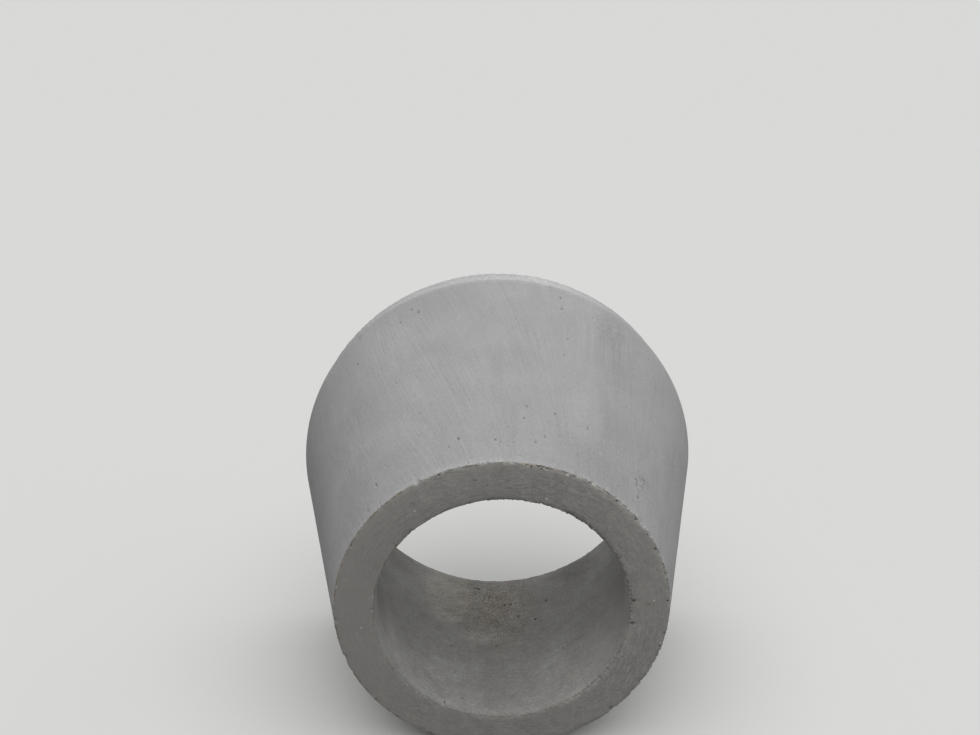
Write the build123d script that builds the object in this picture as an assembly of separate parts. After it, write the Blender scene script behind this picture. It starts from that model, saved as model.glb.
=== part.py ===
"""Eccentric precast concrete manhole cone, lying on its straight side.

The cone reduces a round chamber to a narrower round access opening. One side of it is
straight, and the piece lies on that side. Its axis runs along +Y, from the narrow mouth to
the wide base, and +Z is up. The origin is on the floor under the middle of its outline.
"""
from build123d import *
import os

# Driving dimensions, in millimetres
length = 550  # from the mouth's face to the base's face
mouth_outside = 796  # diameter over the narrow end
mouth_bore = 600  # clear diameter of the narrow end
mouth_floor_wall = 99  # wall on the straight side, at the narrow end
mouth_rim_outside = 6  # straight rim before the outer taper starts
mouth_neck_inside = 60  # straight stretch of the bore before it widens
base_outside = 1105  # diameter over the wide end
base_bore = 914  # clear diameter of the wide end
base_floor_wall = 108  # wall on the straight side, at the wide end
base_collar_outside = 90  # straight band round the wide end
base_collar_inside = 90
mouth_bevel = 4  # outer edge of the narrow end
bore_bevel = 6  # worn inner edge of the narrow end
base_bevel = 5  # both edges of the wide end

# Places along the axis
mouth_y = -length / 2
base_y = length / 2
floor = 0  # height of the outer form's straight side
match = 0.01  # how near an edge's place and radius must be to the ones asked for


def disc(diameter, y, lowest):
    """A round face across the axis, at a place along it, with its lowest point at a height."""
    centre = (0, y, lowest + diameter / 2)
    return Plane(origin=centre, x_dir=(1, 0, 0), z_dir=(0, 1, 0)) * Circle(diameter / 2)


def stepped_cone(mouth_size, mouth_lowest, mouth_straight, base_size, base_lowest, base_straight):
    """A straight neck, an oblique taper and a straight collar, in one solid.

    Each end has a diameter, the height of its lowest point over the floor, and the length
    of its straight stretch. The taper between them leans up from the lower side.
    """
    taper_start = mouth_y + mouth_straight
    taper_end = base_y - base_straight
    neck = extrude(disc(mouth_size, mouth_y, mouth_lowest), amount=mouth_straight)
    narrow_end = disc(mouth_size, taper_start, mouth_lowest)
    wide_end = disc(base_size, taper_end, base_lowest)
    taper = loft([narrow_end, wide_end], ruled=True)
    collar = extrude(wide_end, amount=base_straight)
    return neck + taper + collar


def rim(solid, y, diameter):
    """The circular edge of one diameter on the end face at a given place."""
    return [
        edge
        for edge in solid.edges().filter_by(GeomType.CIRCLE)
        if abs(edge.center().Y - y) < match and abs(edge.radius - diameter / 2) < match
    ]


def manhole_cone():
    """The whole casting: the outer form less the hollow, with its four rims eased."""
    narrow_form = (mouth_outside, floor, mouth_rim_outside)
    wide_form = (base_outside, floor, base_collar_outside)
    outer = stepped_cone(*narrow_form, *wide_form)
    narrow_hollow = (mouth_bore, mouth_floor_wall, mouth_neck_inside)
    wide_hollow = (base_bore, base_floor_wall, base_collar_inside)
    hollow = stepped_cone(*narrow_hollow, *wide_hollow)
    cone = outer - hollow
    cone = chamfer(rim(cone, mouth_y, mouth_bore), bore_bevel)
    cone = chamfer(rim(cone, mouth_y, mouth_outside), mouth_bevel)
    cone = chamfer(rim(cone, base_y, base_outside), base_bevel)
    return chamfer(rim(cone, base_y, base_bore), base_bevel)


os.makedirs("parts", exist_ok=True)
export_step(manhole_cone(), "parts/manhole_cone.step")
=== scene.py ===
import math
import random

import bmesh
import bpy
from mathutils import Matrix, Vector, kdtree, noise


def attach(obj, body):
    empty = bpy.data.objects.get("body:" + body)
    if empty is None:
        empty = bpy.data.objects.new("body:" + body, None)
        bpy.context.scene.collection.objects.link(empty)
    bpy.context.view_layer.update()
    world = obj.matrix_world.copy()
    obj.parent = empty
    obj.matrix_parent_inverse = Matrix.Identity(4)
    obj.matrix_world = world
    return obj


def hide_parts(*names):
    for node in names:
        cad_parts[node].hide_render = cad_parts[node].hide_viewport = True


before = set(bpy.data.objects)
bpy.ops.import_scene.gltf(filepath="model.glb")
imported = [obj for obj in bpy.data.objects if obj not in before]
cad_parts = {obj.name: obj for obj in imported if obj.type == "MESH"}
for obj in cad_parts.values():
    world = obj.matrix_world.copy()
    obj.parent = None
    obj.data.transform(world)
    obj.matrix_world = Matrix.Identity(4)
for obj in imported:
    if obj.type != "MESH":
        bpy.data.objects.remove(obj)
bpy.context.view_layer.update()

# The camera stands a step in front of the narrow mouth, at eye height, and looks down
# on the cone, almost in line with its axis.
eye = bpy.data.objects.new("eye", bpy.data.cameras.new("eye"))
eye.data.sensor_width = 36.0
eye.data.lens = 26.118
eye.data.clip_end = 200.0
eye.location = (-0.0473, -1.6774, 1.4779)
look_down = math.radians(18.406)
look_aside = math.radians(-0.767)
eye.rotation_euler = (math.radians(90) - look_down, 0.0, look_aside)
bpy.context.scene.collection.objects.link(eye)
bpy.context.scene.camera = eye

# The body is one casting of plain concrete. It was cast standing in a steel mould, so its
# outside and its hollow are smooth, and both ring faces were struck off by hand.
# Its section is drawn once round the wall, and each point of it is a ring across the axis.
mouth_y, base_y = -0.275, 0.275
mouth_outside, mouth_inside = 0.398, 0.300  # radii of the narrow end
base_outside, base_inside = 0.5525, 0.457  # radii of the wide end
mouth_height, bore_height = 0.398, 0.399  # heights of the ring centres
base_height, chamber_height = 0.5525, 0.565
rim_end_y, neck_end_y, collar_y = -0.269, -0.215, 0.185
mouth_ease, bore_ease, base_ease = 0.003, 0.004, 0.005  # worn roundings of the edges
ring_points = 400
taper_rings, collar_rings, base_face_rings = 44, 10, 8
chamber_rings, flare_rings, neck_rings, mouth_face_rings = 8, 34, 7, 14
OUTSIDE, RING, HOLLOW = 0, 1, 2
section = []  # (y, radius, centre height, surface)


def run_to(y, radius, height, rings, surface):
    """Goes straight on along the section to a ring, with even rings on the way."""
    begin = section[-1][:3]
    for step in range(1, rings + 1):
        share = step / rings
        place = [a + (b - a) * share for a, b in zip(begin, (y, radius, height))]
        section.append((*place, surface))


def round_edge(y, radius, height, ease, quarter, surface, steps=4):
    """Turns an edge with a rounding; quarters count from the narrow end's outer edge."""
    middle_y = y + (ease if quarter in (0, 3) else -ease)
    middle_radius = radius + (-ease if quarter in (0, 1) else ease)
    for step in range(steps + 1):
        turn = math.radians(90 * (quarter - 1 + step / steps))
        place = (middle_y + ease * math.sin(turn), middle_radius + ease * math.cos(turn), height)
        section.append((*place, surface))


round_edge(mouth_y, mouth_outside, mouth_height, mouth_ease, 0, OUTSIDE)
run_to(rim_end_y, mouth_outside, mouth_height, 1, OUTSIDE)
run_to(collar_y, base_outside, base_height, taper_rings, OUTSIDE)
run_to(base_y - base_ease, base_outside, base_height, collar_rings, OUTSIDE)
round_edge(base_y, base_outside, base_height, base_ease, 1, OUTSIDE)
run_to(base_y, base_inside + base_ease, chamber_height, base_face_rings, RING)
round_edge(base_y, base_inside, chamber_height, base_ease, 2, HOLLOW)
run_to(collar_y, base_inside, chamber_height, chamber_rings, HOLLOW)
run_to(neck_end_y, mouth_inside, bore_height, flare_rings, HOLLOW)
run_to(mouth_y + bore_ease, mouth_inside, bore_height, neck_rings, HOLLOW)
round_edge(mouth_y, mouth_inside, bore_height, bore_ease, 3, HOLLOW)
run_to(mouth_y, mouth_outside - mouth_ease, mouth_height, mouth_face_rings, RING)
section = [a for a, b in zip(section, section[1:]) if (a[0], a[1]) != (b[0], b[1])]


def across(y, radius, height):
    """Lays a circle of radius 1 across the axis, with its centre at a height."""
    turn = Matrix.Rotation(math.radians(90), 4, "X")
    return Matrix.Translation((0.0, y, height)) @ turn @ Matrix.Scale(radius, 4)


cast = bmesh.new()
place = across(*section[0][:3])
bmesh.ops.create_circle(cast, segments=ring_points, radius=1.0, matrix=place)
first_edges = list(cast.edges)
open_edges = first_edges
for *station, surface in section[1:]:
    grown = bmesh.ops.extrude_edge_only(cast, edges=open_edges)["geom"]
    ring = [item for item in grown if isinstance(item, bmesh.types.BMVert)]
    open_edges = [item for item in grown if isinstance(item, bmesh.types.BMEdge) and item.is_boundary]
    for item in grown:
        if isinstance(item, bmesh.types.BMFace):
            item.material_index = surface
    bmesh.ops.transform(cast, matrix=across(*station) @ place.inverted(), verts=ring)
    place = across(*station)
for item in bmesh.ops.bridge_loops(cast, edges=open_edges + first_edges)["faces"]:
    item.material_index = RING
bmesh.ops.recalc_face_normals(cast, faces=cast.faces)

# The edges of both ends crumbled a little when the mould was stripped. Each is ragged all
# round, more so on the right, with a few larger flakes, and the mesh is finer there.
# The collar at the wide end is set back a hair, apart from paste that stuck to its lip.
flake_reach, wear_reach, crumble_reach = 0.014, 0.022, 0.007  # how far each goes from an edge
swell_depth, ripple_depth = 0.0008, 0.0003  # slow unevenness of the whole cast
grit_depth, bite_depth, flake_depth = 0.0014, 0.0034, 0.013
least_raggedness = 0.2
flake_rarity = 0.42
collar_depth, collar_step, lip_y = 0.0011, 0.006, 0.260
clear_of_hollow = 0.53  # radius past which a point of the collar is on its outside
least_lost = 0.0001  # keeps the cast just inside its full form
edges_of_ends = (  # y, radius, centre height, how crumbled, start of its noise
    (mouth_y, mouth_outside, mouth_height, 1.2, 2.0),
    (mouth_y, mouth_inside, bore_height, 1.3, 5.0),
    (base_y, base_outside, base_height, 1.5, 8.0),
    (base_y, base_inside, chamber_height, 1.0, 13.0),
)


def from_edge(point, y, radius, height):
    """Distance of a point from one of the four round edges."""
    return math.hypot(point.y - y, math.hypot(point.x, point.z - height) - radius)


def near_an_end_edge(point):
    return any(from_edge(point, *edge[:3]) < flake_reach for edge in edges_of_ends)


def as_share(value):
    """Keeps a value between 0 and 1."""
    return min(1.0, max(0.0, value))


fine = [edge for edge in cast.edges if all(near_an_end_edge(vert.co) for vert in edge.verts)]
bmesh.ops.subdivide_edges(cast, edges=fine, cuts=1, use_grid_fill=True)
cast.normal_update()
wear = cast.verts.layers.float.new("wear")
for vert in cast.verts:
    point = vert.co.copy()
    swell = 0.5 + 0.5 * noise.noise(point * 6.0)
    ripple = 0.5 + 0.5 * noise.noise(point * 22.0)
    lost = swell_depth * swell + ripple_depth * ripple
    for y, radius, height, crumbled, start in edges_of_ends:
        away = from_edge(point, y, radius, height)
        vert[wear] = max(vert[wear], 1.0 - away / wear_reach)
        if away > flake_reach:
            continue
        round_it = Vector((point.x, 0.0, point.z - height)) / radius + Vector((0.0, start, 0.0))
        grit = 0.5 + noise.noise(round_it * 110.0)
        bites = 0.35 + noise.noise(round_it * 60.0) + 0.8 * noise.noise(round_it * 19.0)
        patchy = 0.78 + 0.7 * round_it.x + 1.1 * noise.noise(round_it * 3.3)
        gone = grit_depth * grit + bite_depth * max(0.0, bites)
        gone *= crumbled * max(least_raggedness, patchy)
        lost += gone * max(0.0, 1.0 - away / (crumble_reach * crumbled))
        flake = noise.noise(round_it * 11.0) + 0.5 * noise.noise(round_it * 29.0)
        flake = max(0.0, flake - flake_rarity)
        flake_width = 0.005 + 0.02 * flake
        lost += flake_depth * crumbled * flake * max(0.0, 1.0 - away / flake_width)
    on_collar = as_share((point.y - collar_y) / collar_step)
    on_lip = as_share((point.y - lip_y) / collar_step)
    stuck = 0.35 + noise.noise(Vector((point.x, point.y * 0.5, point.z)) * 130.0)
    if (point - Vector((0.0, point.y, base_height))).length > clear_of_hollow:
        lost += collar_depth * on_collar * (1.0 - on_lip * as_share(stuck * 2.5))
    vert.co -= vert.normal * max(least_lost, lost)

# Air trapped against the mould left round holes. Those that show plainly are in their
# places, by their turn from the top and their place along the axis; the rest are strewn.
# A few crumbs of paste stick to the ring face of the mouth.
outside_line = ((mouth_y, mouth_outside, mouth_height), (collar_y, base_outside, base_height))
hollow_line = ((neck_end_y, mouth_inside, bore_height), (collar_y, base_inside, chamber_height))
plain_outside_holes = (  # turn, place along the axis, size
    (-13.8, -0.214, 0.0031), (-2.3, -0.227, 0.0026), (13.3, -0.211, 0.0022), (6.7, -0.177, 0.0022),
    (7.7, -0.148, 0.0022), (16.4, -0.154, 0.0025), (17.6, 0.156, 0.0029), (18.0, 0.125, 0.0029),
    (20.0, 0.045, 0.0021), (27.4, -0.160, 0.0021), (10.4, -0.228, 0.0022), (-16.8, -0.228, 0.0014),
    (-25.3, 0.151, 0.0023), (-23.2, 0.137, 0.0031), (-29.0, 0.130, 0.0025), (-45.3, 0.106, 0.0028),
    (-49.2, -0.257, 0.0024), (-44.2, -0.221, 0.0029), (48.3, -0.205, 0.0028), (49.6, -0.228, 0.0031),
    (49.4, -0.182, 0.0013), (22.4, -0.195, 0.0013), (-10.5, -0.268, 0.0020),
)
plain_hollow_holes = (  # turn, place along the axis, size
    (-173.1, 0.226, 0.0031), (-172.3, 0.227, 0.0037), (-171.3, 0.228, 0.0029), (-176.9, 0.188, 0.0030),
    (177.4, 0.151, 0.0035), (174.8, 0.149, 0.0036), (171.7, 0.093, 0.0032), (164.6, 0.066, 0.0034),
    (160.7, 0.139, 0.0029), (169.7, 0.053, 0.0023), (-158.5, -0.054, 0.0025), (-179.2, -0.026, 0.0022),
    (-152.2, -0.264, 0.0022), (-161.0, -0.232, 0.0021),
)
mouth_ring_holes = (  # turn, radius, size
    (-21.0, 0.391, 0.0020), (-10.4, 0.392, 0.0016), (-8.6, 0.391, 0.0014), (7.4, 0.391, 0.0017),
    (9.1, 0.390, 0.0021), (11.3, 0.391, 0.0015), (12.6, 0.388, 0.0022), (14.2, 0.391, 0.0017),
    (40.4, 0.391, 0.0018), (49.9, 0.391, 0.0024), (57.2, 0.391, 0.0018), (63.5, 0.390, 0.0030),
    (73.8, 0.391, 0.0018), (85.0, 0.390, 0.0026), (98.1, 0.391, 0.0020), (83.6, 0.310, 0.0044),
    (95.2, 0.310, 0.0042), (48.9, 0.305, 0.0020), (41.2, 0.305, 0.0016), (32.8, 0.305, 0.0020),
    (-52.3, 0.306, 0.0018), (-61.0, 0.391, 0.0018), (-128.4, 0.390, 0.0022), (104.2, 0.391, 0.0024),
)
mouth_ring_crumbs = (  # turn, radius
    (17.7, 0.319), (-35.5, 0.338), (-95.7, 0.335), (84.3, 0.357), (21.4, 0.389), (102.5, 0.388),
)
crumb_size = 0.0026
small_hole, ring_hole = (0.0010, 0.0017), (0.0009, 0.0015)  # sizes of the strewn holes
strewn_end = 0.24  # how far along the axis holes are strewn, either way
inner_margin, outer_margin = 0.025, 0.015  # parts of a ring face that are left clear
pit_lift, crumb_lift = -1.1, 0.15  # heights over the surface, as shares of the size
spot_width = 1.3  # radius, as a share of the size


def on_a_ring(turn, radius, y, height):
    """A point at a turn from the top of a ring."""
    angle = math.radians(turn)
    return Vector((radius * math.sin(angle), y, height + radius * math.cos(angle)))


def on_the_wall(line, turn, y):
    """A point of the outside or the hollow."""
    (y_a, radius_a, height_a), (y_b, radius_b, height_b) = line
    share = as_share((y - y_a) / (y_b - y_a))
    radius = radius_a + (radius_b - radius_a) * share
    height = height_a + (height_b - height_a) * share
    return on_a_ring(turn, radius, y, height)


def search_of(points):
    """A search tree of all points of the cast, by their index."""
    points.ensure_lookup_table()
    finder = kdtree.KDTree(len(points))
    for index, vert in enumerate(points):
        finder.insert(vert.co, index)
    finder.balance()
    return finder


luck = random.Random(41)
holes = [(on_the_wall(outside_line, *at), size) for *at, size in plain_outside_holes]
holes += [(on_the_wall(hollow_line, *at), size) for *at, size in plain_hollow_holes]
holes += [(on_a_ring(*at, mouth_y, mouth_height), size) for *at, size in mouth_ring_holes]
for line, count in ((outside_line, 44), (hollow_line, 30)):
    for _ in range(count):
        at = (luck.uniform(-180, 180), luck.uniform(-strewn_end, strewn_end))
        holes.append((on_the_wall(line, *at), luck.uniform(*small_hole)))
for y, height, inner, outer, count in (
    (mouth_y, mouth_height, mouth_inside, mouth_outside, 10),
    (base_y, base_height, base_inside, base_outside, 12),
):
    for _ in range(count):
        at = (luck.uniform(-180, 180), luck.uniform(inner + inner_margin, outer - outer_margin))
        holes.append((on_a_ring(*at, y, height), luck.uniform(*ring_hole)))
crumbs = [(on_a_ring(*at, mouth_y, mouth_height), crumb_size) for at in mouth_ring_crumbs]
finder = search_of(cast.verts)
round_them = set()
for at, size in holes + crumbs:
    nearest = cast.verts[finder.find(at)[1]]
    round_them |= {edge for face in nearest.link_faces for edge in face.edges}
bmesh.ops.subdivide_edges(cast, edges=list(round_them), cuts=3, use_grid_fill=True)
cast.normal_update()
finder = search_of(cast.verts)
pit = cast.verts.layers.float.new("pit")
crumb = cast.verts.layers.float.new("crumb")
for spots, layer, lift in ((holes, pit, pit_lift), (crumbs, crumb, crumb_lift)):
    for at, size in spots:
        middle = cast.verts[finder.find(at)[1]].co.copy()
        for _, index, away in finder.find_range(middle, size * spot_width):
            vert = cast.verts[index]
            share = 1.0 - (away / (size * spot_width)) ** 2
            vert.co += vert.normal * size * lift * share
            vert[layer] = max(vert[layer], share)

mesh = bpy.data.meshes.new("cast_cone")
cast.to_mesh(mesh)
cast.free()
mesh.shade_smooth()
cone = bpy.data.objects.new("cast_cone", mesh)
bpy.context.scene.collection.objects.link(cone)
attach(cone, "root")
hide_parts("manhole_cone")

# The concrete is cement paste with fine sand. Every finish on it has cloudy patches, a
# sandy grain, the marks that a mould, a float or a brush left, and small air holes.


def add(tree, kind, inputs=None, **settings):
    """Adds a node, sets its properties, and fills its inputs with values or links."""
    made = tree.nodes.new(kind)
    for name, value in settings.items():
        setattr(made, name, value)
    for name, value in (inputs or {}).items():
        if isinstance(value, bpy.types.NodeSocket):
            tree.links.new(value, made.inputs[name])
        else:
            made.inputs[name].default_value = value
    return made


def sum_up(tree, operation, *values, clamp=False):
    """Works out one value from two or more, one after the other."""
    result = values[0]
    for value in values[1:]:
        inputs = {0: result, 1: value}
        result = add(tree, "ShaderNodeMath", inputs, operation=operation, use_clamp=clamp).outputs[0]
    return result


def times(tree, *values):
    return sum_up(tree, "MULTIPLY", *values)


def span(tree, value, low, high, to_low=0.0, to_high=1.0):
    """Stretches a range of a value over another range."""
    names = ("Value", "From Min", "From Max", "To Min", "To Max")
    inputs = dict(zip(names, (value, low, high, to_low, to_high)))
    return add(tree, "ShaderNodeMapRange", inputs).outputs[0]


def on_surface(tree):
    """The place on the object."""
    return add(tree, "ShaderNodeTexCoord").outputs["Object"]


def split(tree, vector):
    return add(tree, "ShaderNodeSeparateXYZ", {"Vector": vector}).outputs


def combine(tree, operation, first, second):
    """Works out one vector from two."""
    inputs = {0: first, 1: second}
    return add(tree, "ShaderNodeVectorMath", inputs, operation=operation).outputs["Vector"]


def stretch(tree, vector, scale):
    """Makes a vector longer or shorter."""
    inputs = {0: vector, "Scale": scale}
    return add(tree, "ShaderNodeVectorMath", inputs, operation="SCALE").outputs["Vector"]


def length_of(tree, vector):
    return add(tree, "ShaderNodeVectorMath", {0: vector}, operation="LENGTH").outputs["Value"]


def grain_of(tree, spot, scale, detail, rough=0.5):
    """Random light and dark, from 0 to 1, round about 0.5."""
    inputs = {"Vector": spot, "Scale": scale, "Detail": detail, "Roughness": rough}
    return add(tree, "ShaderNodeTexNoise", inputs).outputs[0]


def effect(name, inputs, outputs):
    """An empty node group with named number inputs and outputs."""
    group = bpy.data.node_groups.new(name, "ShaderNodeTree")
    for label, value in inputs.items():
        socket = group.interface.new_socket(label, in_out="INPUT", socket_type="NodeSocketFloat")
        socket.default_value = value
    for label in outputs:
        group.interface.new_socket(label, in_out="OUTPUT", socket_type="NodeSocketFloat")
    return group, add(group, "NodeGroupInput").outputs, add(group, "NodeGroupOutput")


def put_out(group, end, values):
    for label, value in values.items():
        group.links.new(value, end.inputs[label])


sandy_inputs = {"Patch Scale": 7.0, "Grain Scale": 210.0}
sandy, given, end = effect("sandy_paste", sandy_inputs, ("Patches", "Grain"))
spot = on_surface(sandy)
cloudy = {"Vector": spot, "Scale": given["Patch Scale"]}
cloudy |= {"Detail": 6.0, "Roughness": 0.62, "Distortion": 0.4}
clouds = add(sandy, "ShaderNodeTexNoise", cloudy).outputs[0]
sand = grain_of(sandy, spot, given["Grain Scale"], 4.0, 0.6)
put_out(sandy, end, {"Patches": span(sandy, clouds, 0.32, 0.68), "Grain": span(sandy, sand, 0.28, 0.72)})

specked, given, end = effect("crumbs_and_pinholes", {"Scale": 150.0, "Share": 0.62}, ("Dark", "Light"))
bits = grain_of(specked, on_surface(specked), given["Scale"], 2.0, 0.6)
sure = sum_up(specked, "ADD", given["Share"], 0.05)
dark_bits = span(specked, bits, given["Share"], sure)
light_bits = span(specked, sum_up(specked, "SUBTRACT", 1.0, bits), given["Share"], sure)
put_out(specked, end, {"Dark": dark_bits, "Light": light_bits})

# Drawn marks run round the axis, outwards or along it, by how fine they are each way.
# They waver, and they may swing round along the top, most of all a little left of it.
mark_inputs = {"Round": 35.0, "Outwards": 0.0, "Along": 3.0, "Waver": 1.5, "Twist": 0.0}
drawn, given, end = effect("drawn_marks", mark_inputs, ("Marks", "Scratches"))
spot = on_surface(drawn)
parts = split(drawn, spot)
axis = span(drawn, parts["Y"], rim_end_y, collar_y, mouth_height, base_height)
rise = sum_up(drawn, "SUBTRACT", parts["Z"], axis)
spoke = add(drawn, "ShaderNodeCombineXYZ", {"X": parts["X"], "Z": rise}).outputs[0]
aim = add(drawn, "ShaderNodeVectorMath", {0: spoke}, operation="NORMALIZE").outputs["Vector"]
off_side = sum_up(drawn, "ABSOLUTE", sum_up(drawn, "ADD", parts["X"], 0.11), 0.0)
swing = times(drawn, span(drawn, off_side, 0.05, 0.40, 1.0, 0.15), given["Twist"], parts["Y"])
swung = {"Vector": aim, "Angle": swing}
aim = add(drawn, "ShaderNodeVectorRotate", swung, rotation_type="Y_AXIS").outputs[0]
turned = stretch(drawn, aim, given["Round"])
out_by = times(drawn, length_of(drawn, spoke), given["Outwards"])
on_by = times(drawn, parts["Y"], given["Along"])
travel = add(drawn, "ShaderNodeCombineXYZ", {"Y": sum_up(drawn, "ADD", out_by, on_by)}).outputs[0]
path = combine(drawn, "ADD", turned, travel)
sway = add(drawn, "ShaderNodeTexNoise", {"Vector": spot, "Scale": 2.2, "Detail": 1.0}).outputs["Color"]
path = combine(drawn, "ADD", path, stretch(drawn, sway, given["Waver"]))
lines = span(drawn, grain_of(drawn, path, 1.0, 5.0, 0.7), 0.28, 0.72)
pressed = grain_of(drawn, spot, 9.0, 3.0)
strong = span(drawn, pressed, 0.36, 0.62, 0.35, 1.0)
lines = times(drawn, sum_up(drawn, "SUBTRACT", lines, 0.5), strong)
shifted = combine(drawn, "ADD", path, (17.0, 0.0, 5.0))
cuts = span(drawn, grain_of(drawn, shifted, 1.3, 2.0, 0.6), 0.60, 0.70)
cuts = times(drawn, cuts, span(drawn, pressed, 0.42, 0.56))
put_out(drawn, end, {"Marks": sum_up(drawn, "ADD", lines, 0.5), "Scratches": cuts})

airy, given, end = effect("air_holes", {"Spacing": 45.0, "Size": 0.075, "Share": 0.5}, ("Holes",))
spaced = {"Vector": on_surface(airy), "Scale": given["Spacing"]}
cells = add(airy, "ShaderNodeTexVoronoi", spaced).outputs
chosen = add(airy, "ShaderNodeSeparateColor", {"Color": cells["Color"]}).outputs
open_cell = sum_up(airy, "LESS_THAN", chosen["Red"], given["Share"])
width = times(airy, given["Size"], sum_up(airy, "ADD", chosen["Green"], 0.4))
inside = sum_up(airy, "SUBTRACT", width, cells["Distance"])
depth = sum_up(airy, "DIVIDE", inside, width, clamp=True)
put_out(airy, end, {"Holes": times(airy, depth, open_cell)})


def blend(tree, mask, plain, other):
    """One value where a mask is 0 and another where it is 1."""
    return add(tree, "ShaderNodeMix", {0: mask, 2: plain, 3: other}).outputs[0]


def blend_colours(tree, mask, plain, other):
    """One colour where a mask is 0 and another where it is 1."""
    inputs = {0: mask, 6: plain, 7: other}
    return add(tree, "ShaderNodeMix", inputs, data_type="RGBA").outputs[2]


def change(tree, shade, mask, factor):
    """Brightens or darkens the shade where a mask is."""
    return times(tree, shade, blend(tree, mask, 1.0, factor))


def stain(tree, tone, mask, colour):
    """Tints the tone where a mask is."""
    tint = blend_colours(tree, mask, (1.0, 1.0, 1.0, 1.0), (*colour, 1.0))
    return combine(tree, "MULTIPLY", tone, tint)


def mesh_value(tree, name):
    return add(tree, "ShaderNodeAttribute", attribute_name=name).outputs["Fac"]


def specks(tree, scale, share):
    """Dark and light bits of a fineness; a larger share leaves fewer of them."""
    return add(tree, "ShaderNodeGroup", {"Scale": scale, "Share": share}, node_tree=specked).outputs


def cement_finish(name, dark, light, marks, strength, grit, patches=7.0, hole_share=0.30):
    """A matt cement material, its tree and the value of its colour, ready for more.

    The strength is that of the drawn marks and the grit is that of the sand, as shares.
    """
    painted_hole_shade = 0.52
    sand_height, mark_height, hole_depth = 0.35, 0.6, 1.5
    made = bpy.data.materials.new(name)
    made.use_nodes = True
    tree = made.node_tree
    tree.nodes.clear()
    paste = add(tree, "ShaderNodeGroup", {"Patch Scale": patches}, node_tree=sandy).outputs
    strokes = add(tree, "ShaderNodeGroup", marks, node_tree=drawn).outputs
    bubbles = add(tree, "ShaderNodeGroup", {"Share": hole_share}, node_tree=airy).outputs["Holes"]
    tone = blend_colours(tree, paste["Patches"], (*dark, 1.0), (*light, 1.0))
    grain = span(tree, paste["Grain"], 0.0, 1.0, 1.0 - grit, 1.0 + grit)
    stroke = span(tree, strokes["Marks"], 0.0, 1.0, 1.0 - strength, 1.0 + strength)
    shade = change(tree, times(tree, grain, stroke), strokes["Scratches"], 1.0 - strength)
    # painted shade: the air holes and the pits are darkened in the colour, as the shade inside them
    hollowed = sum_up(tree, "MAXIMUM", bubbles, mesh_value(tree, "pit"))
    shade = change(tree, shade, span(tree, hollowed, 0.0, 0.8), painted_hole_shade)
    relief = times(tree, paste["Grain"], sand_height)
    relief = sum_up(tree, "ADD", relief, times(tree, strokes["Marks"], mark_height))
    relief = sum_up(tree, "SUBTRACT", relief, times(tree, bubbles, hole_depth))
    bump = add(tree, "ShaderNodeBump", {"Height": relief, "Strength": 0.6, "Distance": 0.001}).outputs[0]
    rough = span(tree, paste["Patches"], 0.0, 1.0, 0.84, 0.96)
    return made, tree, tone, shade, rough, bump


def close_finish(made, tree, tone, shade, rough, bump):
    """Joins the colour, the shade and the relief in the shader."""
    inputs = {"Base Color": stretch(tree, tone, shade), "Roughness": rough, "Normal": bump}
    shader = add(tree, "ShaderNodeBsdfPrincipled", inputs)
    shader.inputs["Specular IOR Level"].default_value = 0.25
    out = add(tree, "ShaderNodeOutputMaterial")
    tree.links.new(shader.outputs["BSDF"], out.inputs["Surface"])
    mesh.materials.append(made)


def blot(tree, middle, reach, ragged, edge):
    """A mask that is 1 in the middle of a blot and fades to 0 at its ragged edge."""
    spot = on_surface(tree)
    off = combine(tree, "SUBTRACT", spot, middle)
    far = length_of(tree, combine(tree, "DIVIDE", off, reach))
    torn = sum_up(tree, "SUBTRACT", grain_of(tree, spot, 38.0, 4.0), 0.5)
    far = sum_up(tree, "ADD", far, times(tree, torn, ragged))
    return span(tree, far, 1.0, edge)


def dab(tree, shade, blots):
    """Brightens or darkens the shade in each of some blots."""
    for middle, reach, ragged, edge, factor in blots:
        shade = change(tree, shade, blot(tree, middle, reach, ragged, edge), factor)
    return shade


# The outside came off the steel with faint brushed streaks, which swing round a little on
# the upper left. The collar is paler, with crumbs of paste that stuck to it. A darker band
# runs along the upper right, pinholes gather near the mouth, and two small spots are rough.
streaks = {"Round": 85.0, "Outwards": 0.0, "Along": 6.0, "Waver": 6.0, "Twist": 0.95}
darker_grey, lighter_grey = (0.334, 0.334, 0.334), (0.384, 0.384, 0.384)
finish = cement_finish("cast_outside", darker_grey, lighter_grey, streaks, strength=0.095, grit=0.082)
made, tree, tone, shade, rough, bump = finish
spot = on_surface(tree)
parts = split(tree, spot)
along = parts["Y"]
upper_middle = blot(tree, (-0.060, 0.120, 1.020), (0.240, 0.120, 0.140), 0.2, 0.2)
shade = blend(tree, span(tree, upper_middle, 0.0, 1.0, 0.0, 0.35), shade, 1.0)
flecks = grain_of(tree, spot, 110.0, 4.0, 0.75)
collar_edge = sum_up(tree, "ADD", along, times(tree, flecks, 0.006))
on_collar = span(tree, collar_edge, 0.184, 0.192)
shade = change(tree, shade, on_collar, span(tree, flecks, 0.35, 0.60, 0.94, 1.07))
limed = blot(tree, (-0.050, 0.230, 1.080), (0.400, 0.130, 0.340), 0.2, 0.6)
shade = change(tree, shade, times(tree, on_collar, limed), 1.18)
far_half_of_collar = span(tree, along, 0.222, 0.250)
shade = change(tree, shade, far_half_of_collar, 0.95)
crusted = blot(tree, (0.070, 0.236, 1.097), (0.210, 0.060, 0.060), 0.6, 0.3)
crusted = times(tree, on_collar, span(tree, crusted, 0.0, 1.0, 0.25, 1.0))
shade = change(tree, shade, times(tree, crusted, span(tree, flecks, 0.52, 0.62)), 1.35)
worn = mesh_value(tree, "wear")
shade = change(tree, shade, worn, span(tree, flecks, 0.35, 0.65, 0.94, 1.17))
bits = specks(tree, 170.0, 0.62)
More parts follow.
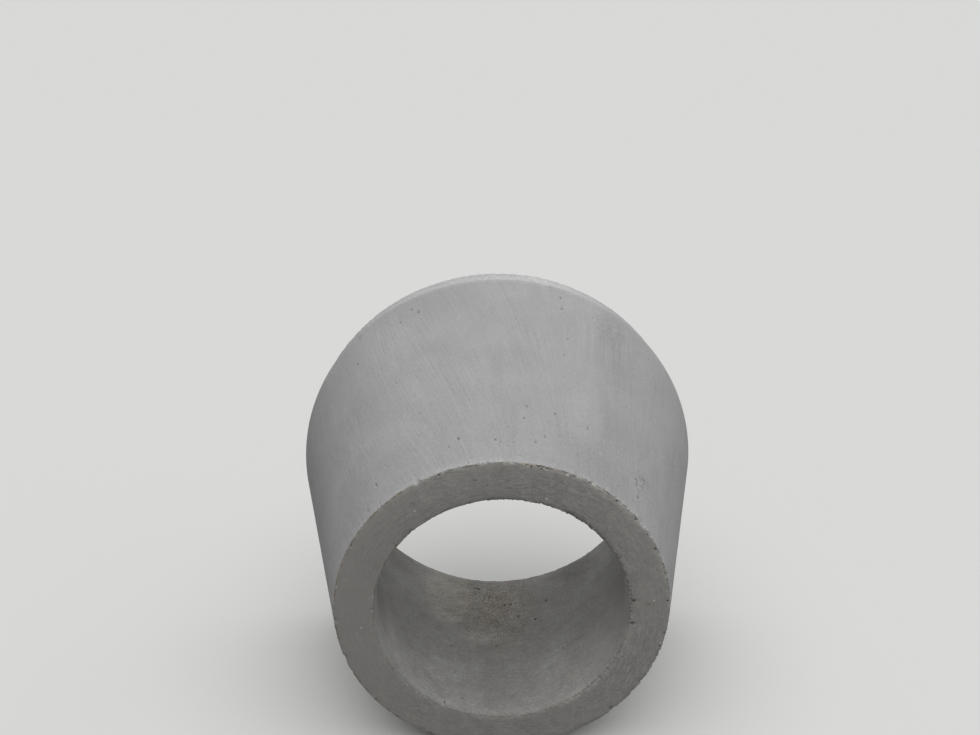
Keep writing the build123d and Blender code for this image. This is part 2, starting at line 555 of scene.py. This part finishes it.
by_edge = span(tree, worn, 0.62, 0.80)
shade = change(tree, shade, times(tree, by_edge, bits["Dark"]), 0.5)
near_mouth = span(tree, along, -0.08, -0.22)
shade = change(tree, shade, near_mouth, 0.965)
flocks = grain_of(tree, spot, 16.0, 2.0)
pinholes = times(tree, span(tree, flocks, 0.48, 0.62), bits["Dark"])
shade = change(tree, shade, times(tree, near_mouth, pinholes), 0.64)
off_middle = span(tree, sum_up(tree, "ABSOLUTE", parts["X"], 0.0), 0.05, 0.45, 0.30, 1.0)
shade = change(tree, shade, off_middle, span(tree, flecks, 0.35, 0.65, 0.965, 1.035))
axis = span(tree, along, rim_end_y, collar_y, mouth_height, base_height)
turn = sum_up(tree, "ARCTAN2", parts["X"], sum_up(tree, "SUBTRACT", parts["Z"], axis))
turn = sum_up(tree, "ADD", turn, times(tree, flocks, 0.08))
darker_band = times(tree, span(tree, turn, 0.50, 0.63), span(tree, turn, 0.86, 0.70))
darker_band = times(tree, darker_band, span(tree, along, 0.19, 0.17))
shade = change(tree, shade, darker_band, 0.935)
scuffed = blot(tree, (0.290, 0.125, 0.975), (0.070, 0.075, 0.080), 1.0, 0.2)
shade = change(tree, shade, scuffed, span(tree, flecks, 0.35, 0.65, 0.86, 1.02))
pocked = blot(tree, (0.324, -0.190, 0.695), (0.034, 0.034, 0.038), 0.8, 0.3)
shade = change(tree, shade, times(tree, pocked, span(tree, flecks, 0.52, 0.57)), 0.50)
shade = dab(tree, shade, (  # middle, reach, raggedness, edge, factor
    ((0.150, -0.275, 0.770), (0.110, 0.012, 0.070), 0.5, 0.3, 0.93),
    # painted shade: the left flank is darker, as if something tall beside it kept off the sky
    ((-0.520, 0.030, 0.500), (0.160, 0.400, 0.450), 0.2, 0.2, 0.87),
    ((0.200, -0.240, 0.750), (0.130, 0.080, 0.110), 0.3, 0.3, 0.91),
    ((-0.375, 0.174, 0.952), (0.011, 0.014, 0.009), 0.8, 0.2, 0.84),
    ((-0.010, -0.080, 0.920), (0.022, 0.120, 0.080), 0.6, 0.6, 0.95),
    ((0.250, -0.100, 0.850), (0.018, 0.130, 0.080), 0.8, 0.6, 0.95),
    ((-0.300, 0.100, 0.950), (0.150, 0.140, 0.160), 0.3, 0.3, 1.05),
))
close_finish(made, tree, tone, shade, rough, bump)

# The ring faces were struck off and floated by hand, round and round, so they carry short
# circular drag marks and light crumbs. The mouth's is smoother on the left and the bottom.
# Brown dirt sits in a broken line along their edges.
drags = {"Round": 14.0, "Outwards": 230.0, "Along": 0.0, "Waver": 9.0}
dark_paste, light_paste = (0.312, 0.305, 0.290), (0.366, 0.358, 0.341)
smooth_paste = (0.338, 0.331, 0.314)
finish = cement_finish("struck_ring", dark_paste, light_paste, drags, 0.32, 0.13, patches=24.0)
made, tree, tone, shade, rough, bump = finish
spot = on_surface(tree)
parts = split(tree, spot)
at_mouth = span(tree, parts["Y"], 0.2, -0.2)
at_left = times(tree, span(tree, parts["X"], -0.16, -0.32, 0.0, 0.68), at_mouth)
at_right = span(tree, parts["X"], 0.28, 0.35, 0.0, 0.20)
at_bottom = span(tree, parts["Z"], 0.18, 0.08, 0.0, 0.35)
smoother = sum_up(tree, "MAXIMUM", at_left, at_right, at_bottom)
shade = blend(tree, smoother, shade, 1.0)
tone = blend_colours(tree, smoother, tone, (*smooth_paste, 1.0))
lumps = grain_of(tree, spot, 60.0, 1.0)
lumpy = span(tree, parts["Z"], 0.22, 0.10, 0.35, 1.0)
lumpy = times(tree, lumpy, span(tree, at_left, 0.0, 0.5, 1.0, 0.0))
shade = change(tree, shade, lumpy, span(tree, lumps, 0.35, 0.65, 0.95, 1.05))
# painted shade: the mouth's ring face is darker on the left
shade = change(tree, shade, at_left, 0.94)
bits = specks(tree, 70.0, 0.72)
shade = change(tree, shade, bits["Light"], 1.5)
shade = change(tree, shade, bits["Dark"], 0.6)
shade = change(tree, shade, mesh_value(tree, "crumb"), 1.9)
worn = mesh_value(tree, "wear")
by_edge = span(tree, worn, 0.60, 0.78)
shade = change(tree, shade, times(tree, by_edge, specks(tree, 170.0, 0.56)["Light"]), 1.3)
broken = grain_of(tree, spot, 42.0, 4.0, 0.7)
dirt_and_hole_shade = times(tree, span(tree, worn, 0.68, 0.78), span(tree, broken, 0.46, 0.54))
dirt_and_hole_shade = times(tree, dirt_and_hole_shade, span(tree, parts["X"], 0.12, 0.28, 1.0, 0.35))
smear = blot(tree, (0.345, -0.275, 0.424), (0.009, 0.020, 0.004), 1.0, 0.2)
# the ring's holes join the dirt: they are darkened as painted shade in them, and take its brown tint
dirt_and_hole_shade = sum_up(tree, "MAXIMUM", dirt_and_hole_shade, smear, mesh_value(tree, "pit"))
shade = change(tree, shade, dirt_and_hole_shade, 0.70)
# painted shade: the ring faces grow darker towards the bottom
shade = change(tree, shade, span(tree, parts["Z"], 0.45, 0.08), 0.93)
rise = sum_up(tree, "SUBTRACT", parts["Z"], mouth_height)
radius = length_of(tree, add(tree, "ShaderNodeCombineXYZ", {"X": parts["X"], "Z": rise}).outputs[0])
upper = times(tree, span(tree, parts["Z"], 0.45, 0.70), at_mouth)
shade = change(tree, shade, upper, span(tree, radius, 0.320, 0.385, 0.92, 1.12))
tone = stain(tree, tone, dirt_and_hole_shade, (1.10, 0.96, 0.80))
close_finish(made, tree, tone, shade, rough, bump)

# The hollow was turned by a core, so its marks run round it. Brown dust and small holes
# gather on its floor beside a pale patch, and painted light makes a lighter crescent by the mouth's
# edge.
# Painted shade darkens its holes, its bottom and its far end, and painted light brightens its side
# walls.
turns = {"Round": 5.0, "Outwards": 0.0, "Along": 150.0, "Waver": 7.0}
dark_paste, light_paste = (0.312, 0.307, 0.294), (0.388, 0.384, 0.370)
clouds_and_air = {"patches": 12.0, "hole_share": 0.45}
finish = cement_finish("cast_hollow", dark_paste, light_paste, turns, 0.12, 0.13, **clouds_and_air)
made, tree, tone, shade, rough, bump = finish
spot = on_surface(tree)
parts = split(tree, spot)
on_floor = span(tree, parts["Z"], 0.34, 0.16)
settled = grain_of(tree, spot, 200.0, 3.0, 0.7)
shade = change(tree, shade, on_floor, span(tree, settled, 0.30, 0.70, 0.80, 1.12))
mottled = grain_of(tree, spot, 40.0, 4.0, 0.7)
shade = change(tree, shade, on_floor, span(tree, mottled, 0.35, 0.65, 0.94, 1.06))
slant = {"Vector": spot, "Angle": -0.45}
slanted = add(tree, "ShaderNodeVectorRotate", slant, rotation_type="Z_AXIS").outputs[0]
combed = grain_of(tree, combine(tree, "MULTIPLY", slanted, (12.0, 200.0, 12.0)), 1.0, 3.0, 0.7)
pale_patch = blot(tree, (-0.152, 0.162, 0.135), (0.080, 0.145, 0.090), 0.35, 0.8)
shade = change(tree, shade, pale_patch, span(tree, combed, 0.34, 0.66, 1.00, 1.33))
dirt = blot(tree, (-0.010, 0.150, 0.100), (0.165, 0.240, 0.080), 0.9, 0.1)
bits = specks(tree, 160.0, 0.585)
shade = change(tree, shade, times(tree, dirt, bits["Dark"]), 0.45)
shade = change(tree, shade, times(tree, dirt, bits["Light"]), 1.7)
crumbly = blot(tree, (0.047, 0.165, 0.110), (0.030, 0.040, 0.020), 0.8, 0.2)
shade = change(tree, shade, times(tree, crumbly, span(tree, settled, 0.52, 0.60)), 1.55)
shade = change(tree, shade, dirt, span(tree, mottled, 0.35, 0.65, 0.80, 0.92))
# painted shade: the holes of the hollow are darker still, as the shade inside them
shade = change(tree, shade, span(tree, mesh_value(tree, "pit"), 0.1, 0.6), 0.48)
light_spot = blot(tree, (-0.050, 0.005, 0.106), (0.070, 0.034, 0.050), 0.9, 0.4)
shade = change(tree, shade, light_spot, span(tree, settled, 0.35, 0.65, 1.13, 1.27))
# painted shade: the far part of the hollow is darker, as if its wide end were closed off
shaded_far_floor = span(tree, parts["Y"], 0.02, 0.24)
shade = change(tree, shade, shaded_far_floor, 0.90)
# painted light: a lighter crescent on the neck, just inside the mouth's lower left edge
low = sum_up(tree, "MAXIMUM", sum_up(tree, "SUBTRACT", parts["Z"], 0.10), 0.0)
inner_bound = sum_up(tree, "SUBTRACT", times(tree, sum_up(tree, "POWER", low, 2.0), 9.0), 0.262)
outer_bound = sum_up(tree, "SUBTRACT", times(tree, low, 0.30), 0.300)
torn = times(tree, sum_up(tree, "SUBTRACT", mottled, 0.5), 0.10)
inwards = sum_up(tree, "ADD", sum_up(tree, "SUBTRACT", inner_bound, parts["Y"]), torn)
outwards = sum_up(tree, "SUBTRACT", parts["Y"], outer_bound)
painted_light_crescent = times(tree, span(tree, inwards, -0.030, 0.025), span(tree, outwards, 0.0, 0.012))
painted_light_crescent = times(tree, painted_light_crescent, span(tree, parts["Z"], 0.31, 0.24), span(tree, parts["X"], 0.00, -0.14))
painted_light_crescent = times(tree, painted_light_crescent, span(tree, parts["Z"], 0.14, 0.26, 0.3, 1.0))
shade = change(tree, shade, painted_light_crescent, 1.18)
# painted shade: the hollow is darker along its bottom, all the way through
shaded_bottom = span(tree, parts["Z"], 0.15, 0.11)
shade = change(tree, shade, shaded_bottom, 0.89)
off_middle = sum_up(tree, "ABSOLUTE", parts["X"], 0.0)
# painted light: the side walls of the hollow are lighter
shade = change(tree, shade, span(tree, off_middle, 0.17, 0.27), 1.10)
shade = dab(tree, shade, (  # middle, reach, raggedness, edge, factor
    # painted light: lighter on the lower left wall, beside the crescent
    ((-0.293, -0.118, 0.271), (0.030, 0.060, 0.035), 0.4, 0.3, 1.09),
    # painted light: the lower right wall of the hollow is lighter
    ((0.255, -0.140, 0.270), (0.170, 0.200, 0.190), 0.3, 0.3, 1.18),
    ((-0.050, -0.200, 0.105), (0.150, 0.090, 0.060), 0.4, 0.3, 0.94),
    ((0.000, -0.190, 0.100), (0.070, 0.160, 0.050), 0.4, 0.3, 0.90),
    ((0.140, -0.170, 0.130), (0.090, 0.170, 0.070), 0.4, 0.3, 1.09),
    # painted shade: the next two darken the lower neck on both sides, just inside the mouth
    ((-0.215, -0.245, 0.187), (0.110, 0.070, 0.110), 0.4, 0.3, 0.84),
    ((0.250, -0.250, 0.230), (0.080, 0.060, 0.100), 0.4, 0.3, 0.91),
    # painted shade: the next two darken the far end of the hollow on both sides
    ((0.240, 0.225, 0.170), (0.150, 0.100, 0.090), 0.4, 0.3, 0.72),
    ((-0.300, 0.240, 0.220), (0.120, 0.100, 0.090), 0.4, 0.3, 0.72),
    # painted light: lighter on the lower left wall, beside the crescent
    ((-0.280, -0.165, 0.262), (0.035, 0.055, 0.035), 0.4, 0.3, 1.14),
))
# painted shade: the worn edges of the hollow are darker, most at the sides
by_edge = span(tree, mesh_value(tree, "wear"), 0.62, 0.80)
shade = change(tree, shade, by_edge, span(tree, off_middle, 0.10, 0.22, 0.90, 0.78))
tone = stain(tree, tone, dirt, (1.05, 0.985, 0.91))
tone = stain(tree, tone, pale_patch, (1.03, 1.01, 0.96))
close_finish(made, tree, tone, shade, rough, bump)

# The floor is a plain pale sheet, and the light is an even dome with a broad soft lamp
# overhead and a weak one from the right, as on a dull day.
floor_reach = 60.0  # how far the floor goes from the origin, each way
floor_mesh = bpy.data.meshes.new("floor")
plane = bmesh.new()
bmesh.ops.create_grid(plane, x_segments=1, y_segments=1, size=floor_reach)
plane.to_mesh(floor_mesh)
plane.free()
floor = bpy.data.objects.new("floor", floor_mesh)
bpy.context.scene.collection.objects.link(floor)
floor_lit, floor_seen = (0.16, 0.16, 0.16, 1.0), (0.62, 0.62, 0.61, 1.0)
sky_lit, sky_seen = (0.225, 0.225, 0.225, 1.0), (0.692, 0.694, 0.682, 1.0)


def seen_directly(tree):
    """1 for what the eye, a gloss or a glass looks at, and 0 for light on its way."""
    path = add(tree, "ShaderNodeLightPath").outputs
    seen = sum_up(tree, "ADD", path["Is Camera Ray"], path["Is Glossy Ray"])
    return sum_up(tree, "ADD", seen, path["Is Transmission Ray"], clamp=True)


pale = bpy.data.materials.new("pale_floor")
pale.use_nodes = True
tree = pale.node_tree
tree.nodes.clear()
tone = blend_colours(tree, seen_directly(tree), floor_lit, floor_seen)
matt = add(tree, "ShaderNodeBsdfDiffuse", {"Color": tone})
out = add(tree, "ShaderNodeOutputMaterial")
tree.links.new(matt.outputs["BSDF"], out.inputs["Surface"])
floor_mesh.materials.append(pale)

world = bpy.data.worlds.new("clouded_sky")
bpy.context.scene.world = world
world.use_nodes = True
tree = world.node_tree
tree.nodes.clear()
sky = blend_colours(tree, seen_directly(tree), sky_lit, sky_seen)
glow = add(tree, "ShaderNodeBackground", {"Color": sky, "Strength": 1.0})
out = add(tree, "ShaderNodeOutputWorld")
tree.links.new(glow.outputs["Background"], out.inputs["Surface"])

for name, energy, spread, tilt, lean in (("overhead", 2.65, 80, 9, 0), ("right_side", 0.45, 60, 0, 65)):
    lamp = bpy.data.objects.new(name, bpy.data.lights.new(name, "SUN"))
    lamp.data.energy = energy
    lamp.data.angle = math.radians(spread)
    lamp.rotation_euler = (math.radians(tilt), math.radians(lean), 0.0)
    bpy.context.scene.collection.objects.link(lamp)

bpy.context.scene.view_settings.view_transform = "Standard"
